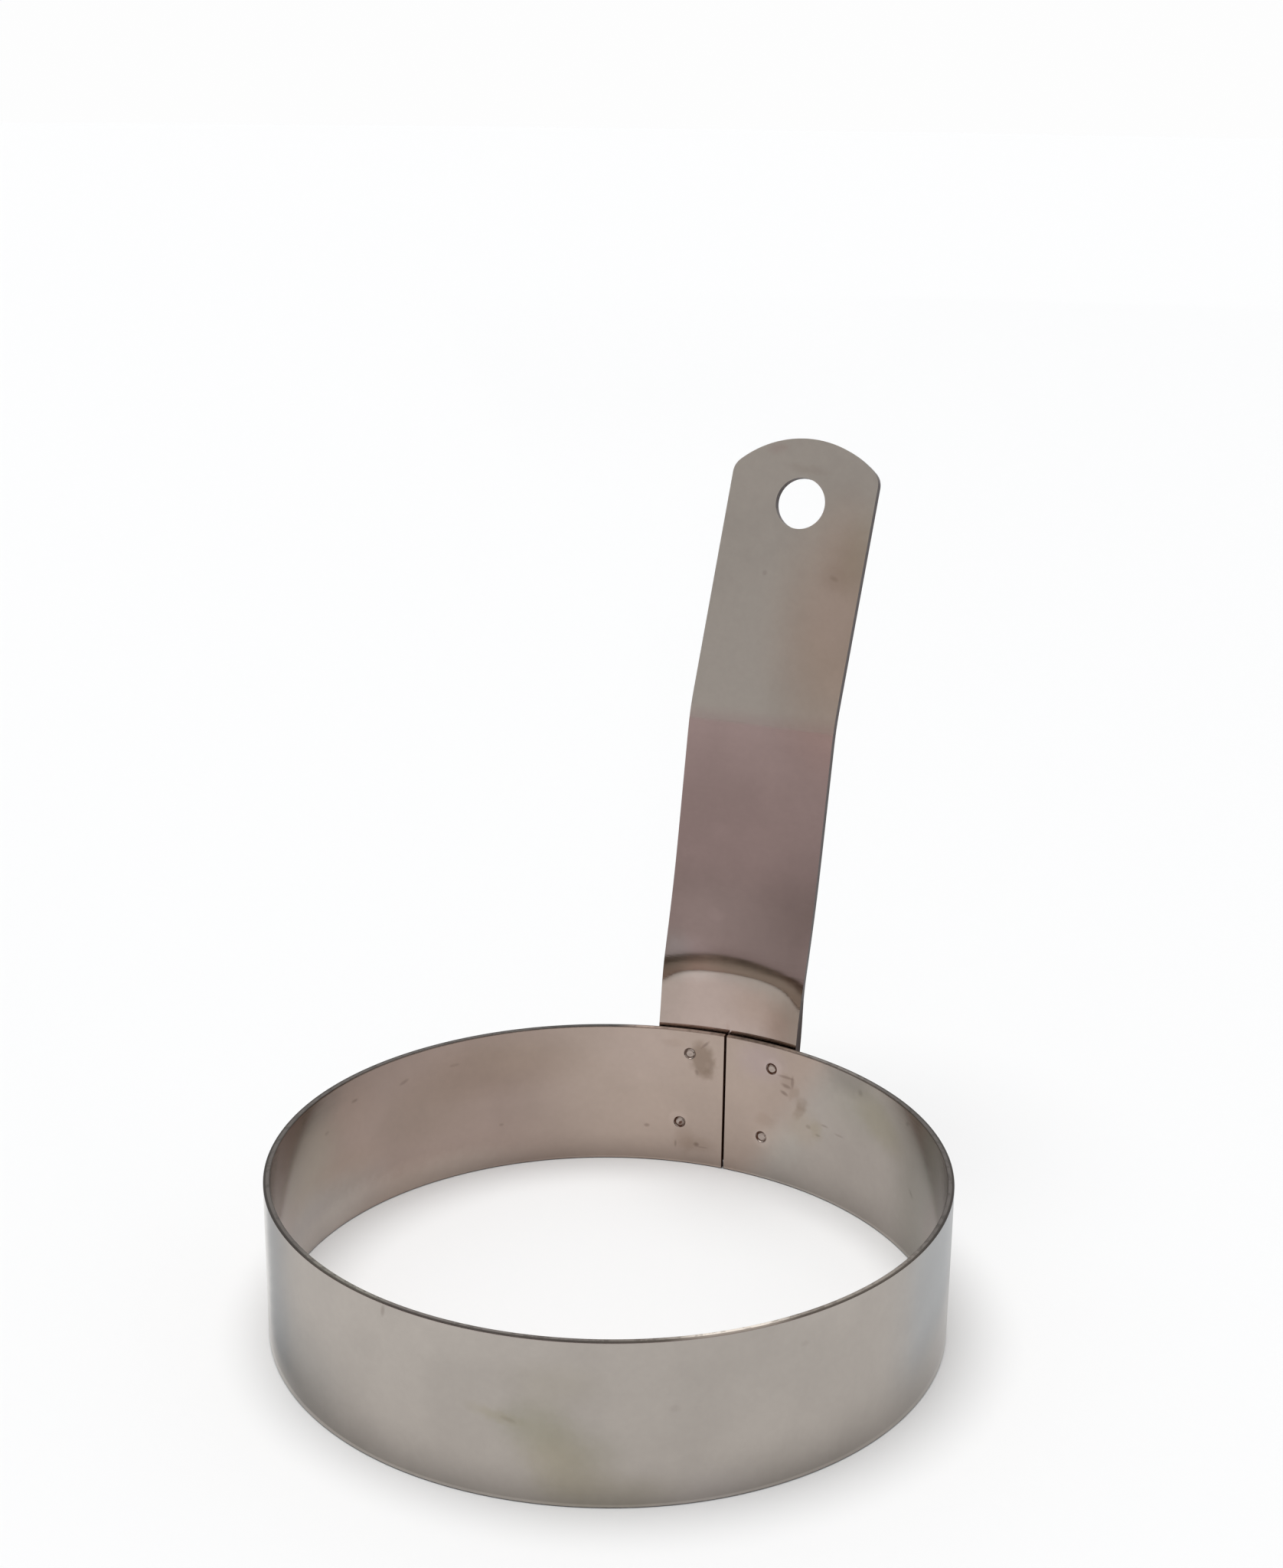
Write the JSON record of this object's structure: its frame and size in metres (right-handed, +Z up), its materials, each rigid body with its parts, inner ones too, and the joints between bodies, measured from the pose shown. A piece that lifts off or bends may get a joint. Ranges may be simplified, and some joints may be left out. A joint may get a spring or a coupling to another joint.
{
  "type": "egg ring",
  "caption": "Round steel band for frying an egg in shape, with a long flat upright handle spot-welded to its outside and a hanging hole at the tip.",
  "frame": {"origin": "middle of the footprint's bounding box, on the plane the ring stands on", "axes": "+Z up along the ring's axis, handle rising at the +Y side, +X across the ring"},
  "size_m": [0.1036, 0.1212, 0.1251],
  "materials": {
    "band_steel": "plain cold-rolled stainless sheet, softly reflective, with water stains",
    "handle_steel": "plain cold-rolled stainless strip, more mirror-like than the band",
    "weld_steel": "dull, heat-darkened weld mark"
  },
  "bodies": {
    "root": {"ring_band": "band_steel", "handle": "handle_steel", "spot_weld_upper_left": "weld_steel", "spot_weld_upper_right": "weld_steel", "spot_weld_lower_left": "weld_steel", "spot_weld_lower_right": "weld_steel"}
  },
  "joints": []
}
